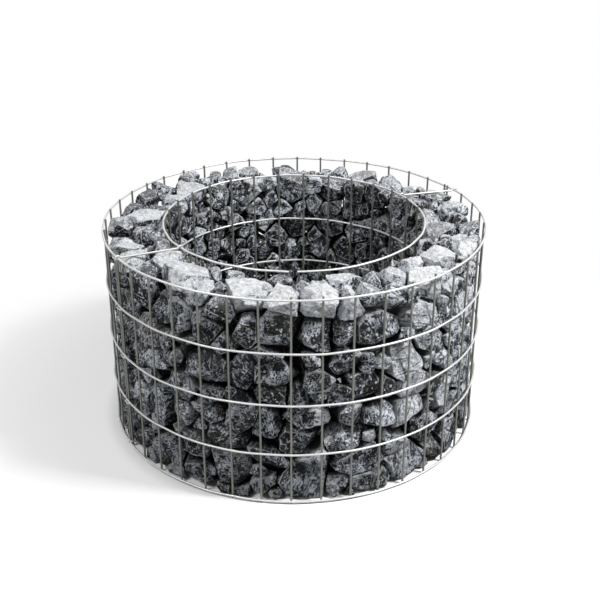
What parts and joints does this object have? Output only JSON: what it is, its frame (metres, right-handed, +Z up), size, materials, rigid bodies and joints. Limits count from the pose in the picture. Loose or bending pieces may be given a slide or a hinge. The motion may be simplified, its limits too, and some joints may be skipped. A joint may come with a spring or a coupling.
{
  "type": "round gabion wall",
  "caption": "Ring-shaped gabion wall: crushed stone held between an inner and an outer round cage of welded wire mesh, with an open hollow in the middle for planting.",
  "frame": {"origin": "middle of the base, on the ground", "axes": "+Z up along the middle of the ring; -Y is the front, +X is to the right seen from the front"},
  "size_m": [0.738, 0.738, 0.4108],
  "materials": {
    "galvanised_wire": "dull hot-dip galvanised steel wire",
    "tie_wire": "bright galvanised binding wire",
    "crushed_stone": "rough broken dark blue-grey stone with pale dusty faces and thin white veins"
  },
  "bodies": {
    "root": {"front_mesh_1": "galvanised_wire", "front_mesh_2": "galvanised_wire", "front_mesh_3": "galvanised_wire", "back_mesh_1": "galvanised_wire", "back_mesh_2": "galvanised_wire", "back_mesh_3": "galvanised_wire", "inner_mesh_1": "galvanised_wire", "inner_mesh_2": "galvanised_wire", "inner_mesh_3": "galvanised_wire", "inner_mesh_4": "galvanised_wire", "inner_mesh_5": "galvanised_wire", "inner_mesh_6": "galvanised_wire", "inner_mesh_7": "galvanised_wire", "inner_mesh_8": "galvanised_wire", "inner_mesh_9": "galvanised_wire", "inner_mesh_10": "galvanised_wire", "inner_mesh_11": "galvanised_wire", "inner_mesh_12": "galvanised_wire", "inner_mesh_13": "galvanised_wire", "inner_mesh_14": "galvanised_wire", "left_seam_ties": "tie_wire", "right_seam_ties": "tie_wire", "spacer_1": "galvanised_wire", "spacer_2": "galvanised_wire", "stone_fill_1": "crushed_stone", "stone_fill_2": "crushed_stone", "stone_fill_3": "crushed_stone", "stone_fill_4": "crushed_stone", "stone_fill_5": "crushed_stone", "stone_fill_6": "crushed_stone", "stone_fill_7": "crushed_stone", "stone_fill_8": "crushed_stone", "stone_fill_9": "crushed_stone", "stone_fill_10": "crushed_stone", "stone_fill_11": "crushed_stone", "stone_fill_12": "crushed_stone", "stone_fill_13": "crushed_stone", "stone_fill_14": "crushed_stone", "stone_fill_15": "crushed_stone", "stone_fill_16": "crushed_stone"}
  },
  "joints": []
}
